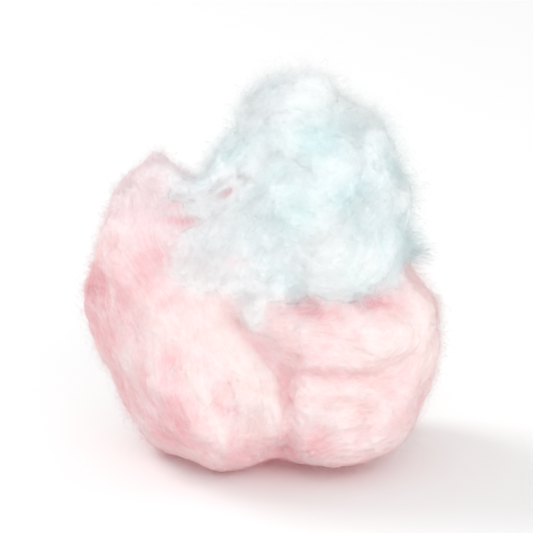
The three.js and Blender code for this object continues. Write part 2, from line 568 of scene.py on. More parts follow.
# %% Fold edges, pits and wrinkles
EDGE_SOFTNESS = 0.8
LONG_CREASE = [(-11, 31), (-5.1, 25.5), (-1.3, 20.6), (2.9, 15.6), (3.0, 11.7), (4.1, 5.6), (3.3, -2)]
PINK_EDGES = [  # corners, then the height left of it or below it, right of it or above it, and reach
    (LONG_CREASE, 1.0, -1.0, 3.0),
    ([(2.5, 15), (9.2, 15.4), (15.7, 15.0), (25, 14.4)], 0.8, -0.1, 2.2),
    ([(-15.5, 18.5), (-13.8, 13.8), (-11.6, 10.6), (-9.4, 6.2), (-7.4, -0.5)], -0.8, 1.1, 1.8),
    ([(-10.4, 11.8), (-7.5, 9.4), (-3.6, 8.8)], -0.35, -0.35, 1.0),
    ([(-34, 38), (-29, 35), (-25, 29), (-24, 22)], -0.3, 0.3, 2.5),
]
PITS = [  # place, reach, turn and depth
    ((-16.1, 46.5), (4.0, 1.0), -3, 0.7),
    ((20.5, 30.6), (2.4, 1.1), -8, 0.8),
    ((-27, 33), (1.6, 1.2), 20, 0.4),
    ((26, 10), (3.0, 1.0), -10, 0.3),
    ((-0.1, 66.4), (0.6, 1.5), -35, 0.8),
    ((1.4, 58.6), (1.8, 0.6), 35, 0.8),
    ((18.4, 62.0), (1.1, 0.7), -20, 0.7),
    ((22.5, 57.2), (0.6, 1.4), 10, 0.7),
    ((1.4, 41.1), (1.5, 1.3), 0, 0.6),
    ((-7.4, 52.6), (2.8, 1.0), 32, 1.2),
]
PINK_WRINKLE = 0.11
BLUE_WRINKLE = 0.14


def fold_edge(points, outs, corners, low_side, high_side, reach):
    """Outward movement, in millimetres, on the two sides of a line."""
    away, side, share = beside(seen(points), rounded(corners))
    passed = 0.5 + 0.5 * np.tanh(side * away / EDGE_SOFTNESS)
    height = low_side * (1 - passed) + high_side * passed
    fading = ramp(share, 0, 0.2) * ramp(share, 1, 0.8)
    return height * np.exp(-away / reach) * fading * facing(outs)


def wrinkles(points, height_of, seed):
    """Ridges that run the way the floss was pulled, each about 1 high where they are strongest."""
    total = np.zeros(len(points))
    for step, spacing in enumerate((3.4 * MM, 2.1 * MM, 1.4 * MM)):
        wander = waves(points, 9 * MM, 2.2, seed + step)
        strength = np.clip(0.5 + waves(points, 13 * MM, 0.4, seed + 10 + step), 0, 1)
        total += strength * np.sin(2 * np.pi * height_of(points) / spacing + wander)
    return total


points, outs = places(skin), outwards(skin)
move = PINK_WRINKLE * (1 - blue) * wrinkles(points, pink_height, 21)
move += BLUE_WRINKLE * blue * wrinkles(points, blue_height, 41)
for edge in PINK_EDGES:
    move += (1 - blue) * (1 - veil) * fold_edge(points, outs, *edge)
for at, reach, turn, depth in PITS:
    move -= depth * patch(points, outs, at, reach, turn)
move -= (SWELL + BLUE_THINNER * blue) / MM
moved_to(skin, on_the_floor(points + move[:, None] * MM * outs))
print("skin moved by", move.min().round(2), "to", move.max().round(2), "mm")

# %% [markdown]
# ## How deep in a fold
# Light that gets into a fold bounces from thread to thread and comes out pinker. Each point is
# compared with a much smoothed copy of the skin: where the copy passes outside the point, the
# point is down in a crease.

# %% Measure the folds
FOLD_ROUNDS = 450

smooth_copy = copy_of(skin, "smooth_copy")
applied(smooth_copy, "SMOOTH", factor=0.5, iterations=FOLD_ROUNDS)
points, outs = places(skin), outwards(skin)
depths = np.einsum("ij,ij->i", places(smooth_copy) - points, outs) / MM
bpy.data.objects.remove(smooth_copy)
print("fold depth, mm:", np.percentile(depths, (5, 50, 95)).round(2))

# %% [markdown]
# ## Colours
# Sugar threads are clear, and a heap of them looks white with a breath of colour. The colour is
# worked out for each point, and light and shade are painted into it: a painted highlight on
# ridges, painted shade in the folds, painted shade low down and at the left, with a pink painted
# reflection at the left, and random mottle. Patches add painted highlights on lit folds and on
# the right side, painted shade in creases, in holes, under the dome and on the crown and veil,
# some real knots of stronger pink, and pools of blue in the dome. Strokes do the same along a
# fold: a painted highlight on its edge and painted shade in its crease. The veil is whitish and
# covers the seam.

# %% Colours of the floss
def srgb(red, green, blue):
    """A colour as a paint program gives it, 0 to 255, in the linear light that shaders use."""
    shares = np.array([red, green, blue]) / 255
    return ((shares + 0.055) / 1.055) ** 2.4


# Painted highlight: the palest pink, put on ridges, lit folds and the right side.
PINK_PAINTED_HIGHLIGHT = srgb(255, 243, 240)
PINK_BODY = srgb(254, 230, 230)
# Painted shade: the pink put deep in the folds.
PINK_FOLD_SHADE = srgb(250, 208, 212)
# Painted shade, with a pink painted reflection at the left; also used for random mottle.
PINK_SHADE_AND_MOTTLE = srgb(251, 212, 216)
# Partly painted shade, under the dome, along the bottom and in creases, partly real spots of stronger
# pink.
PINK_SPOT_AND_SHADE = srgb(250, 200, 206)
# Painted shade: the deepest pink, in creases, holes, under the dome, at the left edge and along the
# bottom.
PINK_PAINTED_SHADE = srgb(240, 180, 188)
HORN_PALE = srgb(246, 230, 233)
HORN_GREY = srgb(240, 222, 226)
# Painted highlight on the dome's ridges, its lit bulge and its right side.
BLUE_PAINTED_HIGHLIGHT = srgb(250, 255, 255)
BLUE_BODY = srgb(243, 251, 252)
# Painted shade: the blue put deep in the dome's folds.
BLUE_FOLD_SHADE = srgb(228, 242, 244)
BLUE_POOL = srgb(214, 241, 243)
# Painted light: the top of the dome is made paler.
CROWN_PAINTED_LIGHT = srgb(252, 255, 255)
# Painted shade: grey on the left of the crown.
CROWN_PAINTED_SHADE = srgb(216, 226, 230)
VEIL = srgb(245, 245, 246)
# Painted shade: grey on the veil beside the dome.
VEIL_PAINTED_SHADE = srgb(221, 223, 226)
# White floss, and a painted highlight where the drip and the horn's side lie in shade.
WHITE_AND_PAINTED_HIGHLIGHT = srgb(255, 253, 253)
SHADE = srgb(205, 205, 208)
RIDGE_HEIGHT = 1.6
FOLD_START = 0.25
FOLD_FULL = 2.4

# Mostly painted light: painted highlights on lit folds and the right side, painted shade left of the
# bright ridge, under the dome, in the slit, along the bottom and at the left edge, and a few real spots
# of stronger pink.
PINK_PATCHES = [  # colour, strength, place, reach and turn
    (PINK_PAINTED_HIGHLIGHT, 0.9, (-5.5, 19.5), (4.0, 12), 33),
    (PINK_PAINTED_HIGHLIGHT, 0.6, (-4, 5.5), (5.0, 5.0), 0),
    (PINK_SHADE_AND_MOTTLE, 0.9, (-18.5, 9), (4.5, 7.5), 20),
    (PINK_PAINTED_SHADE, 1.0, (-33, 31), (5, 7), 0),
    (PINK_SPOT_AND_SHADE, 0.6, (-24, 36), (5, 5), 0),
    (PINK_SPOT_AND_SHADE, 0.9, (-18.5, 39), (4.5, 4.5), 0),
    (PINK_SPOT_AND_SHADE, 0.8, (-18.5, 19.5), (2.8, 2.2), 0),
    (PINK_SPOT_AND_SHADE, 0.7, (-18, 8), (4.5, 7), 20),
    (PINK_SPOT_AND_SHADE, 0.9, (-6, 1.5), (7, 3), 0),
    (PINK_SPOT_AND_SHADE, 0.4, (27, 11), (4, 6), 0),
    (PINK_PAINTED_SHADE, 0.8, (8.5, 28.8), (6.5, 1.8), -5),
    (PINK_PAINTED_SHADE, 1.0, (20.8, 30.4), (3.6, 1.6), -8),
    (PINK_PAINTED_SHADE, 1.0, (-16.6, 46.5), (5.0, 1.5), -3),
    (PINK_SPOT_AND_SHADE, 0.7, (-17.6, 49.4), (2.0, 1.2), 0),
    (PINK_SPOT_AND_SHADE, 0.5, (13, 21), (7, 3), 0),
    (PINK_PAINTED_HIGHLIGHT, 0.8, (20, 21.5), (6, 4), -20),
    (PINK_PAINTED_HIGHLIGHT, 0.8, (32, 24), (4, 10), -5),
    (PINK_SPOT_AND_SHADE, 0.7, (8, 2.5), (9, 3), 5),
    (HORN_GREY, 0.7, (-24, 52), (5, 7), 0),
]
# Painted highlights along fold edges and painted shade in creases.
PINK_STROKES = [  # colour, strength, half width and corners
    (PINK_PAINTED_HIGHLIGHT, 0.8, 2.0, [(-13, 30), (-8.5, 24.5), (-3.8, 18.5), (0.2, 13.5), (-0.4, 8.5)]),
    (PINK_PAINTED_SHADE, 0.4, 1.4, [(-8.0, 29.5), (-2.5, 23.5), (2.6, 18.4), (5.2, 14), (5.0, 9), (5.6, 2)]),
    (PINK_PAINTED_SHADE, 0.5, 1.3, [(4.5, 16.8), (9.4, 17.2), (15.7, 16.9), (21, 16.5)]),
    (PINK_PAINTED_HIGHLIGHT, 0.9, 1.2, [(4.6, 13.2), (12, 13.2), (20, 12.8), (25, 12.6)]),
    (PINK_PAINTED_HIGHLIGHT, 1.0, 1.1, [(-15.4, 19), (-14.0, 14.6), (-11.5, 10.9), (-9.2, 6.6), (-7.4, 0)]),
    (PINK_SPOT_AND_SHADE, 0.7, 0.8, [(-10.0, 11.4), (-7.3, 9.4), (-4.2, 8.9)]),
]
# Real pools of blue, painted highlights on the lit bulge and the right side, and painted shade on the
# crown.
BLUE_PATCHES = [
    (BLUE_POOL, 0.9, (11.6, 61.5), (6.0, 5.0), 0),
    (BLUE_POOL, 1.0, (5.7, 47.9), (3.5, 5.0), 0),
    (BLUE_POOL, 0.6, (24.2, 44.0), (4.0, 5.0), 0),
    (BLUE_POOL, 0.2, (19.4, 52.3), (5.5, 6.0), 0),
    (BLUE_PAINTED_HIGHLIGHT, 0.9, (11, 40), (8, 6.5), 0),
    (BLUE_PAINTED_HIGHLIGHT, 0.8, (27.5, 52), (3, 7), 0),
    (CROWN_PAINTED_SHADE, 0.8, (0.5, 69.5), (3.5, 5), -20),
]
# Painted shade in holes and under the dome, painted highlights on the drip and the horn, grey painted
# shade on the veil, white floss and a spot of stronger pink.
VEIL_SPOTS = [
    (PINK_PAINTED_SHADE, 0.9, (-7.6, 51.8), (2.0, 1.0), 32),
    (PINK_PAINTED_SHADE, 0.6, (-16.2, 46.4), (3.6, 0.9), -3),
    (PINK_SPOT_AND_SHADE, 0.5, (-5.8, 38.4), (2.2, 1.2), 0),
    (WHITE_AND_PAINTED_HIGHLIGHT, 0.9, (-16.2, 36.2), (2.2, 1.3), 20),
    (WHITE_AND_PAINTED_HIGHLIGHT, 0.9, (-1.6, 28.6), (2.4, 3.2), 0),
    (WHITE_AND_PAINTED_HIGHLIGHT, 0.7, (-10, 34.5), (6, 2.4), 0),
    (WHITE_AND_PAINTED_HIGHLIGHT, 0.8, (-17, 56.5), (2.6, 3.2), 0),
    (VEIL_PAINTED_SHADE, 0.8, (-10, 49), (4, 3.5), 0),
    (PINK_PAINTED_SHADE, 0.8, (20.5, 30.6), (2.8, 1.2), -8),
]
# A painted highlight along the arching strand, and painted shade in the dark streaks beside it and on
# the dome.
VEIL_STROKES = [
    (WHITE_AND_PAINTED_HIGHLIGHT, 1.0, 0.6, [(-9.6, 50.8), (-7.9, 53.0), (-5.0, 54.0), (-0.5, 54.2)]),
    (SHADE, 0.8, 0.6, [(-10.8, 50.8), (-9.6, 53.2), (-6.8, 55.0), (-2.5, 55.6)]),
    (SHADE, 0.6, 0.6, [(-1.6, 68.6), (0.1, 66.6), (1.2, 64.8)]),
    (SHADE, 0.6, 0.6, [(-0.4, 57.2), (1.6, 59.0), (3.6, 60.2)]),
    (SHADE, 0.5, 0.6, [(16.9, 63.2), (18.5, 62.0), (20.0, 61.6)]),
    (SHADE, 0.5, 0.5, [(22.2, 59.4), (22.7, 57.2), (22.5, 55.0)]),
]


def between(first, second, share):
    share = np.clip(share, 0, 1)[:, None]
    return first * (1 - share) + second * share


def patched(color, points, outs, patches, strokes=()):
    for other, strength, *where in patches:
        color = between(color, other, strength * patch(points, outs, *where))
    for other, strength, *line in strokes:
        color = between(color, other, strength * stroke(points, outs, *line))
    return color


def pink_color(points, outs, depths):
    x, y, z = points.T / MM
    mottle = waves(points, 8 * MM, 0.22, 62)
    # Painted shade and a pink painted reflection at the left, painted shade low down, and random mottle.
    color = between(PINK_BODY, PINK_SHADE_AND_MOTTLE, 0.7 * ramp(x, -14, -36) + 0.6 * ramp(z, 18, 0) + mottle)
    # Painted highlight on the ridges.
    color = between(color, PINK_PAINTED_HIGHLIGHT, -depths / RIDGE_HEIGHT)
    color = between(color, HORN_PALE, ramp(z, 46, 58))
    # Painted shade in the folds.
    color = between(color, PINK_FOLD_SHADE, ramp(depths, FOLD_START, FOLD_FULL))
    # Painted shade along the bottom, where the wad meets the floor.
    color = between(color, PINK_PAINTED_SHADE, 0.8 * ramp(z, 5, 0))
    return patched(color, points, outs, PINK_PATCHES, PINK_STROKES)


def blue_color(points, outs, depths):
    mottle = waves(points, 9 * MM, 0.25, 63)
    color = between(BLUE_BODY, BLUE_POOL, 0.2 + mottle)
    # Painted highlight on the ridges.
    color = between(color, BLUE_PAINTED_HIGHLIGHT, -depths / RIDGE_HEIGHT)
    # Painted light: paler towards the top of the dome.
    color = between(color, CROWN_PAINTED_LIGHT, ramp(points[:, 2] / MM, 62, 76))
    # Painted shade in the folds.
    color = between(color, BLUE_FOLD_SHADE, ramp(depths, FOLD_START, FOLD_FULL))
    return patched(color, points, outs, BLUE_PATCHES)


color = between(pink_color(points, outs, depths), blue_color(points, outs, depths), blue)
color = between(color, VEIL, 0.85 * veil)
color = patched(color, points, outs, VEIL_SPOTS, VEIL_STROKES)
print("mean colour of the floss:", color.mean(axis=0).round(3))

# %% [markdown]
# These are the colours of a heap of floss. Light meets many threads before it leaves the heap, and
# each of them tints it a bit more, so one thread is much paler than the heap. Raising a colour to
# a power below 1 makes it paler in just that way.

# %% The colour of single threads
PINK_POWER = 0.7
BLUE_POWER = 0.5

top_share = np.maximum(ramp(blue, 0.3, 0.7), veil)
skin_color = color ** (PINK_POWER * (1 - top_share) + BLUE_POWER * top_share)[:, None]

# %% [markdown]
# ## Back to two bodies
# Each body now takes over its part of the skin. A sheet is cut from the skin, which dives under
# the other colour's sheet at the seam, and gets a thick wall. The body itself is pressed in until
# it lies inside the skin, joined with its sheet and remeshed. Where the skin bends sharply, the
# wall's inner side can come out again, so the joined body is pressed once more. A last cloud adds
# the finest nap.

# %% Give each body its part of the skin
SHEET_UNDER = 0.5 * MM
SHEET_LIFT = 0.8 * MM
SHEET_WALL = 1.6 * MM
CORE_DEPTH = 0.9 * MM
NAP = 0.3 * MM

skin_tree = tree_of(skin)
skin_triangles = triangles_of(skin)


def without(piece, unwanted):
    """Deletes the vertices for which the given row of yes and no says yes."""
    only(piece)
    bpy.ops.object.mode_set(mode="EDIT")
    bpy.ops.mesh.select_all(action="DESELECT")
    bpy.ops.object.mode_set(mode="OBJECT")
    piece.data.vertices.foreach_set("select", unwanted)
    bpy.ops.object.mode_set(mode="EDIT")
    bpy.ops.mesh.delete(type="VERT")
    bpy.ops.object.mode_set(mode="OBJECT")


def pressed(body, level):
    """Brings what stands higher above the skin than a level back to it."""
    points = places(body)
    spots, outs = nearest(skin_tree, points)[:2]
    high = np.einsum("ij,ij->i", points - spots, outs) > level
    points[high] = spots[high] + outs[high] * level
    moved_to(body, points)


def skinned(body, share):
    """The body with its outer layer replaced by the skin where share is above 0."""
    sheet = copy_of(skin, "sheet")
    points, outs = places(skin), outwards(skin)
    lift = SHEET_LIFT * np.minimum(2 * share, 1) - SHEET_UNDER
    moved_to(sheet, points + outs * lift[:, None])
    without(sheet, share < 0.02)
    applied(sheet, "SOLIDIFY", thickness=SHEET_WALL, offset=-1)
    pressed(body, -CORE_DEPTH)
    body = joined([body, sheet])
    evened(body, 2)
    pressed(body, SHEET_LIFT - SHEET_UNDER)
    applied(body, "DISPLACE", texture=clouds("nap", 1.2 * MM), strength=NAP, texture_coords="LOCAL")
    moved_to(body, on_the_floor(places(body)))
    return body


blue_dome = skinned(blue_dome, top_share)
pink_wad = skinned(pink_wad, 1 - top_share)
for body in (pink_wad, blue_dome):
    print(body.name, "has", len(triangles_of(body)), "triangles")

# %% [markdown]
# The colours go over from the nearest point of the skin, and are kept on the mesh as a colour
# attribute, which the material reads. A second attribute holds coordinates for a pattern of fine
# fibres: the first one counts across the pull, and the others change slowly, so noise that is
# read with them is drawn out along the pull.

# %% Colour the bodies
ALONG = 0.18


def keep_color(piece, colors):
    kept = piece.data.color_attributes.new("sugar", "FLOAT_COLOR", "POINT")
    kept.data.foreach_set("color", np.hstack([colors, np.ones((len(colors), 1))]).ravel())


def keep_pull(piece, height_of):
    points = places(piece)
    x, y, z = points.T
    pull = np.stack([height_of(points), ALONG * (x + y), ALONG * (z - y)], axis=1) / MM
    kept = piece.data.attributes.new("pull", "FLOAT_VECTOR", "POINT")
    kept.data.foreach_set("vector", pull.ravel())


def under(points):
    """The colour of the skin nearest to each point, and how much of it is blue or veil."""
    corners = skin_triangles[nearest(skin_tree, points)[2]]
    return skin_color[corners].mean(axis=1), top_share[corners].mean(axis=1)


keep_color(pink_wad, under(places(pink_wad))[0])
keep_color(blue_dome, under(places(blue_dome))[0])
keep_pull(pink_wad, pink_height)
keep_pull(blue_dome, blue_height)

# %% [markdown]
# ## Materials
# Floss lets light in, scatters it and lets it out again a few millimetres away. Subsurface
# scattering would do that, but it draws a grey line where two bodies overlap, as these do at their
# seam. So they are matt, and a translucent share passes some light on, which softens the folds
# nearly as well. Noise breaks the colour up, and fibres along the pull and a hair-fine nap, both
# too small to model, are bumps. The threads lie in the open and let half of the light through, as
# clear sugar does.

# %% Spun sugar
MOTTLE_SCALE = 160
NAP_SCALE = 1300
FIBRE_SCALE = 2.2


def deepened(material, pattern, least, most):
    """Raises the colour to a power that follows a pattern: below 1 it is paler, above 1 deeper."""
    nodes, links = material.node_tree.nodes, material.node_tree.links
    shader = nodes["Principled BSDF"]
    power = nodes.new("ShaderNodeMapRange")
    power.inputs["From Min"].default_value = 0.35
    power.inputs["From Max"].default_value = 0.65
    power.inputs["To Min"].default_value = least
    power.inputs["To Max"].default_value = most
    deeper = nodes.new("ShaderNodeGamma")
    links.new(pattern, power.inputs["Value"])
    links.new(power.outputs["Result"], deeper.inputs["Gamma"])
    links.new(shader.inputs["Base Color"].links[0].from_socket, deeper.inputs["Color"])
    links.new(deeper.outputs["Color"], shader.inputs["Base Color"])


def spun_sugar(name):
    """A plain matt shader with the kept colour, broken up by noise. Returns material and shader."""
    material = bpy.data.materials.new(name)
    material.use_nodes = True
    nodes, links = material.node_tree.nodes, material.node_tree.links
    shader = nodes["Principled BSDF"]
    kept = nodes.new("ShaderNodeAttribute")
    kept.attribute_name = "sugar"
    links.new(kept.outputs["Color"], shader.inputs["Base Color"])
    place = nodes.new("ShaderNodeTexCoord")
    mottle = nodes.new("ShaderNodeTexNoise")
    mottle.inputs["Scale"].default_value = MOTTLE_SCALE
    mottle.inputs["Detail"].default_value = 5
    links.new(place.outputs["Object"], mottle.inputs["Vector"])
    deepened(material, mottle.outputs["Fac"], 0.7, 1.4)
    shader.inputs["Roughness"].default_value = 0.9
    shader.inputs["Specular IOR Level"].default_value = 0.1
    return material, shader


def let_through(material, shader, share):
    """Mixes in a translucent shader, which passes its share of the light on to the other side."""
    nodes, links = material.node_tree.nodes, material.node_tree.links
    through = nodes.new("ShaderNodeBsdfTranslucent")
    both = nodes.new("ShaderNodeMixShader")
    both.inputs["Fac"].default_value = share
    links.new(shader.inputs["Base Color"].links[0].from_socket, through.inputs["Color"])
    links.new(shader.outputs["BSDF"], both.inputs[1])
    links.new(through.outputs["BSDF"], both.inputs[2])
    links.new(both.outputs["Shader"], nodes["Material Output"].inputs["Surface"])


def matted(name):
    material, shader = spun_sugar(name)
    nodes, links = material.node_tree.nodes, material.node_tree.links
    place = nodes.new("ShaderNodeTexCoord")
    fine = nodes.new("ShaderNodeTexNoise")
    fine.inputs["Scale"].default_value = NAP_SCALE
    fine.inputs["Detail"].default_value = 4
    links.new(place.outputs["Object"], fine.inputs["Vector"])
    pull = nodes.new("ShaderNodeAttribute")
    pull.attribute_name = "pull"
    fibre = nodes.new("ShaderNodeTexNoise")
    fibre.inputs["Scale"].default_value = FIBRE_SCALE
    fibre.inputs["Detail"].default_value = 4
    fibre.inputs["Distortion"].default_value = 1.6
    links.new(pull.outputs["Vector"], fibre.inputs["Vector"])
    deepened(material, fibre.outputs["Fac"], 0.85, 1.25)
    fine_bump = nodes.new("ShaderNodeBump")
    fine_bump.inputs["Strength"].default_value = 0.5
    fine_bump.inputs["Distance"].default_value = 0.12 * MM
    links.new(fine.outputs["Fac"], fine_bump.inputs["Height"])
    fibre_bump = nodes.new("ShaderNodeBump")
    fibre_bump.inputs["Strength"].default_value = 0.6
    fibre_bump.inputs["Distance"].default_value = 0.25 * MM
    links.new(fibre.outputs["Fac"], fibre_bump.inputs["Height"])
    links.new(fine_bump.outputs["Normal"], fibre_bump.inputs["Normal"])
    links.new(fibre_bump.outputs["Normal"], shader.inputs["Normal"])
    let_through(material, shader, 0.28)
    return material


def threads_of(name):
    material, shader = spun_sugar(name)
    let_through(material, shader, 0.5)
    return material


pink_matted = matted("pink_matted")
blue_matted = matted("blue_matted")
pink_threads = threads_of("pink_threads")
blue_threads = threads_of("blue_threads")
pink_wad.data.materials.append(pink_matted)
blue_dome.data.materials.append(blue_matted)

# %% [markdown]
# ## Threads
# A thread is a thin closed prism with three sides that runs out to a point at both ends. Thousands
# of them could be hair, but hair doesn't survive an export, so they are written as one mesh
# straight from arrays.

# %% Thread meshes
SIDES = 3


def thread_mesh(name, paths, radii, colors, material):
    """paths is threads x points x 3, radii and colors have one row for each thread."""
    threads, points, _ = paths.shape
    rings = points - 2
    along = unit(np.gradient(paths, axis=1))
    reference = unit(np.cross(along[:, :1], np.array([0.31, 0.52, 0.79])))
    across = unit(reference - along * np.sum(reference * along, axis=-1, keepdims=True))
    up = np.cross(along, across)
    swell = np.sin(np.pi * np.linspace(0, 1, points)[1:-1]) ** 0.35
    radius = radii[:, None, None, None] * swell[None, :, None, None]
    angles = np.arange(SIDES) * 2 * np.pi / SIDES
    turned = (
        across[:, 1:-1, None, :] * np.cos(angles)[None, None, :, None]
        + up[:, 1:-1, None, :] * np.sin(angles)[None, None, :, None]
    )
    ring_places = (paths[:, 1:-1, None, :] + radius * turned).reshape(threads, rings * SIDES, 3)
    co = np.concatenate([paths[:, :1], ring_places, paths[:, -1:]], axis=1)
    per = rings * SIDES + 2
    ring = np.arange(rings * SIDES).reshape(rings, SIDES) + 1
    turn = np.roll(ring, -1, axis=1)
    start = np.stack([np.zeros(SIDES, int), turn[0], ring[0]], axis=1)
    end = np.stack([np.full(SIDES, per - 1), ring[-1], turn[-1]], axis=1)
    quads = np.stack([ring[:-1], turn[:-1], turn[1:], ring[1:]], axis=-1).reshape(-1, 4)
    triangles = np.concatenate([start, end, quads[:, [0, 1, 2]], quads[:, [0, 2, 3]]])
    faces = (triangles[None] + (np.arange(threads) * per)[:, None, None]).reshape(-1, 3)
    mesh = bpy.data.meshes.new(name)
    mesh.vertices.add(threads * per)
    mesh.vertices.foreach_set("co", co.ravel().astype(np.float32))
    mesh.loops.add(faces.size)
    mesh.loops.foreach_set("vertex_index", faces.ravel().astype(np.int32))
    mesh.polygons.add(len(faces))
    mesh.polygons.foreach_set("loop_start", np.arange(0, faces.size, 3, dtype=np.int32))
    mesh.update(calc_edges=True)
    mesh.validate()
    piece = bpy.data.objects.new(name, mesh)
    scene.collection.objects.link(piece)
    keep_color(piece, np.repeat(colors, per, axis=0))
    mesh.materials.append(material)
    print(name, "has", threads, "threads and", len(mesh.polygons), "triangles")
    return piece


# %% Scatter roots and walk along the flow
def scatter(chance, count):
    """Random points on the skin, even by area, and their outward directions."""
    corners, turned = places(skin)[skin_triangles], outwards(skin)[skin_triangles]
    area = np.linalg.norm(np.cross(corners[:, 1] - corners[:, 0], corners[:, 2] - corners[:, 0]), axis=1)
    chosen = chance.choice(len(corners), count, p=area / area.sum())
    a, b = np.sqrt(chance.random(count)), chance.random(count)
    weights = np.stack([1 - a, a * (1 - b), a * b], axis=1)
    points = np.einsum("ij,ijk->ik", weights, corners[chosen])
    outs = unit(np.einsum("ij,ijk->ik", weights, turned[chosen]))
    in_the_open = (outs[:, 2] > -0.6) | (points[:, 2] > 1.5 * MM)
    return points[in_the_open], outs[in_the_open]


def slope(height_of, points):
    """The direction in which a height grows, from its difference over a small step."""
    step = 0.05 * MM
    axes = np.eye(3) * step
    rises = [height_of(points + axis) - height_of(points - axis) for axis in axes]
    return np.stack(rises, axis=1) / (2 * step)


def walk(chance, roots, height_of, lengths, steps):
    """Paths along the contour lines on the skin, threads x steps x 3, and their outward directions."""
    point, out = nearest(skin_tree, roots)[:2]
    path, outs = [point], [out]
    heading = chance.choice([-1, 1], (len(roots), 1)) * unit(np.cross(out, slope(height_of, point)))
    for _ in range(steps - 1):
        way = unit(np.cross(out, slope(height_of, point)))
        way *= np.sign(np.sum(way * heading, axis=1, keepdims=True) + 1e-9)
        heading = unit(way + 0.5 * heading)
        point, out = nearest(skin_tree, point + heading * (lengths / (steps - 1))[:, None])[:2]
        path.append(point)
        outs.append(out)
    return np.stack(path, axis=1), np.stack(outs, axis=1)


# %% [markdown]
# ## Locks of threads
# The longest threads lie along the pull, and cling together in locks, as wet hair does. So first
# a few hundred guides are walked over the skin, and then each guide gets its threads: they keep
# beside it, wander a little, and come together at its ends. The locks lift off in the middle, the
# blue ones more, because the dome is looser.

# %% Locks of threads
LOCK_POINTS = 6
THREADS_IN_LOCK = 8
SUNK = 0.10 * MM
LOWEST = 0.05 * MM


def curls(chance, count, share, size, turns):
    """A gentle wave along each thread."""
    speeds = chance.uniform(*turns, (count, 1))
    starts = chance.uniform(0, 2 * np.pi, (count, 1))
    return size * np.sin(share[None] * speeds + starts)


def locks(chance, guides, outs, loft, sway, spread):
    """Threads in locks beside their guides. Sizes in millimetres."""
    lofts = np.repeat(loft * chance.random((len(guides), 1)) ** 1.5, THREADS_IN_LOCK, axis=0)
    guides = np.repeat(guides, THREADS_IN_LOCK, axis=0)
    outs = np.repeat(outs, THREADS_IN_LOCK, axis=0)
    count = len(guides)
    share = np.linspace(0, 1, guides.shape[1])
    gathered = 0.3 + 0.7 * np.sin(np.pi * share)
    side = unit(np.cross(outs, unit(np.gradient(guides, axis=1))))
    lift = lofts * chance.uniform(0.5, 1.2, (count, 1)) * np.sin(np.pi * share) ** 0.7 - SUNK / MM
    lift = lift + 0.4 * curls(chance, count, share, sway, (3, 9))
    bend = chance.normal(0, spread, (count, 1)) * gathered + curls(chance, count, share, sway, (2, 7))
    return on_the_floor(guides + side * bend[..., None] * MM + outs * lift[..., None] * MM, LOWEST)


# %% [markdown]
# Where the floss tore, wisps stand off the outline. A wisp is a sheaf of threads that spring from
# the skin round one place and run roughly one way. Their colour is raised to a power above 1,
# because a pale thread can't be seen in front of a bright ground.

# %% Wisps
def wisp(chance, place, way, length, reach, count):
    """Threads that stand off the skin round a place, all roughly one way. Sizes in millimetres."""
    near = np.array(place) + chance.normal(0, reach / 2, (count, 3))
    roots, outs = nearest(skin_tree, near * MM)[:2]
    heading = unit(unit(np.array(way, float)) + 0.3 * outs + 0.3 * chance.normal(size=(count, 3)))
    side = unit(np.cross(heading, unit(chance.normal(size=(count, 3)))))
    third = np.cross(heading, side)
    share = np.linspace(0, 1, LOCK_POINTS)
    ahead = length * chance.uniform(0.2, 1, (count, 1)) * share - 2 * SUNK / MM
    sideways = curls(chance, count, share, 0.7, (2, 6)) * share
    upwards = curls(chance, count, share, 0.7, (2, 6)) * share
    steps = (
        heading[:, None] * ahead[..., None]
        + side[:, None] * sideways[..., None]
        + third[:, None] * upwards[..., None]
    )
    return on_the_floor(roots[:, None] + steps * MM, LOWEST)


# %% Colours and guides of the threads
def thread_colors(chance, points, paler):
    """The colour of the floss that each thread lies on, a little paler, and no two quite alike."""
    color = between(under(points)[0], np.ones(3), chance.normal(paler, 0.12, len(points)))
    return np.minimum(color, 0.99)


def guides_on(chance, wanted, count, height_of, length):
    """Walks guides from the roots for which wanted says yes."""
    roots = scatter(chance, 6 * count)[0]
    roots = roots[wanted(chance, roots)][:count]
    return walk(chance, roots, height_of, chance.uniform(*length, len(roots)) * MM, LOCK_POINTS)


def in_pink(chance, points):
    return chance.random(len(points)) >= under(points)[1]


def in_blue(chance, points):
    return ~in_pink(chance, points)


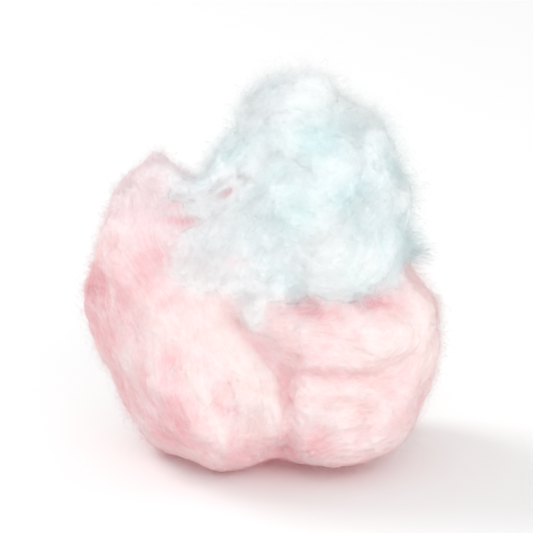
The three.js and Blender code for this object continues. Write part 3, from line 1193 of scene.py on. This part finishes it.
# %% Lay the locks and the wisps
WISP_POWER = 2.0
PINK_WISPS = [  # place, way out, length, reach round the place, and how many threads
    ((-21, -7, 62), (0.2, 0, 1), 4.0, 2.5, 200),
    ((-26, -8, 57), (-0.7, 0, 0.9), 3.5, 3.5, 160),
    ((-29, -10, 52), (-1, 0, 0.4), 3.0, 4.0, 140),
    ((-17, -9, 59), (0.9, 0, 0.6), 3.5, 2.5, 160),
    ((-34, -9, 40), (-1, 0, 0.2), 2.5, 5.0, 160),
    ((34, -8, 32), (1, 0, 0.5), 3.0, 5.0, 200),
    ((35, -5, 18), (1, 0, -0.1), 2.5, 5.0, 120),
    ((-22, 20, 35), (-0.5, 1, 0.2), 3.5, 5.0, 120),
    ((20, 22, 25), (0.3, 1, 0), 3.0, 6.0, 120),
]
BLUE_WISPS = [
    ((-3, -5, 74), (-0.7, 0, 1), 4.0, 4.0, 220),
    ((-8, 3, 63), (-1, 0, 0.5), 3.0, 3.5, 140),
    ((5, -4, 79), (0.1, 0, 1), 4.5, 6.0, 300),
    ((14, 0, 75), (0.6, 0, 1), 4.5, 6.0, 260),
    ((21, -5, 69), (1, 0, 0.8), 4.5, 5.0, 220),
    ((27, -9, 60), (1, 0, 0.3), 4.0, 5.0, 220),
    ((30, -7, 44.5), (1, -0.2, -0.1), 6.5, 5.0, 600),
    ((5, 24, 58), (0.2, 1, 0.4), 4.0, 6.0, 160),
    ((24, 16, 46), (0.7, 1, 0), 4.0, 5.0, 140),
]

chance = np.random.default_rng(4)
pink_locks = locks(chance, *guides_on(chance, in_pink, 650, pink_height, (8, 20)), 0.6, 0.3, 0.7)
pink_paths = np.concatenate([pink_locks] + [wisp(chance, *row) for row in PINK_WISPS])
pink_thread_colors = thread_colors(chance, pink_paths[:, LOCK_POINTS // 2], 0.45)
pink_thread_colors[len(pink_locks) :] **= WISP_POWER
pink_strands = thread_mesh(
    "pink_strands",
    pink_paths,
    chance.uniform(0.010, 0.018, len(pink_paths)) * MM,
    pink_thread_colors,
    pink_threads,
)
blue_locks = locks(chance, *guides_on(chance, in_blue, 700, blue_height, (6, 15)), 1.5, 0.6, 0.9)
blue_paths = np.concatenate([blue_locks] + [wisp(chance, *row) for row in BLUE_WISPS])
blue_thread_colors = thread_colors(chance, blue_paths[:, LOCK_POINTS // 2], 0.4)
blue_thread_colors[len(blue_locks) :] **= WISP_POWER
blue_strands = thread_mesh(
    "blue_strands",
    blue_paths,
    chance.uniform(0.010, 0.020, len(blue_paths)) * MM,
    blue_thread_colors,
    blue_threads,
)

# %% [markdown]
# ## Veil strands
# The veil was drawn out sideways, so its strands cross from the horn to the dome, and a few drawn
# locks stand out of it: one that arches over a hole, and the drip. A drawn lock is a line in the
# picture, like the fold edges, and each of its points is dropped on the skin from the camera.

# %% Veil strands
DRAWN_LOCKS = [
    [(-11.0, 51.0), (-8.6, 53.6), (-5.0, 54.8), (-1.5, 54.4)],
    [(-10.0, 50.4), (-8.0, 52.9), (-4.5, 54.3), (-2.0, 55.4)],
    [(-4.5, 34.0), (-2.4, 30.5), (-1.6, 27.5), (-1.7, 25.2)],
    [(-3.0, 33.0), (-1.6, 30.0), (-1.2, 27.8), (-1.6, 25.8)],
    [(-16.5, 36.0), (-13.0, 33.2), (-9.0, 32.0), (-5.5, 31.8)],
    [(-14.6, 53.6), (-12.4, 48.5), (-13.4, 43.0), (-15.6, 38.5)],
    [(-17.8, 35.4), (-15.0, 38.0), (-11.0, 40.0), (-6.0, 41.5)],
    [(1.0, 30.5), (4.0, 31.4), (8.0, 30.6), (12.0, 30.2)],
]


def drawn(corners):
    line = rounded(corners)
    chosen = np.linspace(0, len(line) - 1, LOCK_POINTS).round().astype(int)
    return dropped(skin_tree, line[chosen])


def veiled(chance, points):
    corners = skin_triangles[nearest(skin_tree, points)[2]]
    return chance.random(len(points)) < 1.5 * veil[corners].mean(axis=1)


guides, outs = guides_on(chance, veiled, 220, veil_height, (5, 13))
drawn_guides, drawn_outs = zip(*[drawn(corners) for corners in DRAWN_LOCKS * 3])
guides = np.concatenate([guides, drawn_guides])
outs = np.concatenate([outs, drawn_outs])
veil_paths = locks(chance, guides, outs, 0.8, 0.4, 0.6)
veil_strands = thread_mesh(
    "veil_strands",
    veil_paths,
    chance.uniform(0.010, 0.022, len(veil_paths)) * MM,
    thread_colors(chance, veil_paths[:, LOCK_POINTS // 2], 0.5),
    blue_threads,
)

# %% [markdown]
# ## Haze
# Over the locks lies a haze of loose threads, finer and shorter, which blurs the outline. Each
# springs from the skin in any direction, bends as it goes, and rises a little: most stay close,
# and a few stand far out, as a random number from an exponential distribution does.

# %% Haze
HIGHEST = 3.0


def haze(chance, roots, outs, points, length, loft, bend):
    """Curled threads of a length that rise by about a loft, in millimetres. bend is in turns."""
    count = len(roots)
    side = unit(np.cross(outs, unit(chance.normal(size=(count, 3)))))
    third = np.cross(outs, side)
    lengths = chance.uniform(*length, (count, 1)) * MM
    share = np.linspace(0, 1, points)[None]
    turned = chance.normal(0, bend, (count, 1)) * 2 * np.pi
    turned = np.where(np.abs(turned) < 0.2, 0.2, turned)
    ahead = lengths * np.sin(turned * share) / turned
    sideways = lengths * (1 - np.cos(turned * share)) / turned
    rise = loft * MM * np.minimum(chance.exponential(1.0, (count, 1)), HIGHEST)
    lift = rise * np.sin(np.pi * share * chance.uniform(0.4, 1.0, (count, 1))) - SUNK
    paths = (
        roots[:, None]
        + side[:, None] * ahead[..., None]
        + third[:, None] * sideways[..., None]
        + outs[:, None] * lift[..., None]
    )
    return on_the_floor(paths, LOWEST)


PINK_HAZE_COUNT = 32000
BLUE_HAZE_COUNT = 16000

chance = np.random.default_rng(5)
roots, outs = scatter(chance, 70000)
chosen = np.flatnonzero(in_pink(chance, roots))[:PINK_HAZE_COUNT]
pink_haze_paths = haze(chance, roots[chosen], outs[chosen], 3, (2, 4.5), 0.9, 0.1)
pink_haze = thread_mesh(
    "pink_haze",
    pink_haze_paths,
    chance.uniform(0.009, 0.016, len(pink_haze_paths)) * MM,
    thread_colors(chance, pink_haze_paths[:, 0], 0.2),
    pink_threads,
)
chosen = np.flatnonzero(in_blue(chance, roots))[:BLUE_HAZE_COUNT]
blue_haze_paths = haze(chance, roots[chosen], outs[chosen], 4, (3, 6.5), 1.5, 0.15)
blue_haze = thread_mesh(
    "blue_haze",
    blue_haze_paths,
    chance.uniform(0.012, 0.020, len(blue_haze_paths)) * MM,
    thread_colors(chance, blue_haze_paths[:, 0], 0.2),
    blue_threads,
)

# %% [markdown]
# ## Ride and replace
# Every piece rides on the one body, and the two matted bodies stand in for their solids, which
# are hidden.

# %% Ride and replace
bpy.data.objects.remove(skin)
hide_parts("pink_floss")
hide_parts("blue_floss")
for piece in (pink_wad, pink_strands, pink_haze):
    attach(piece, "root")
for piece in (blue_dome, blue_strands, veil_strands, blue_haze):
    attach(piece, "root")
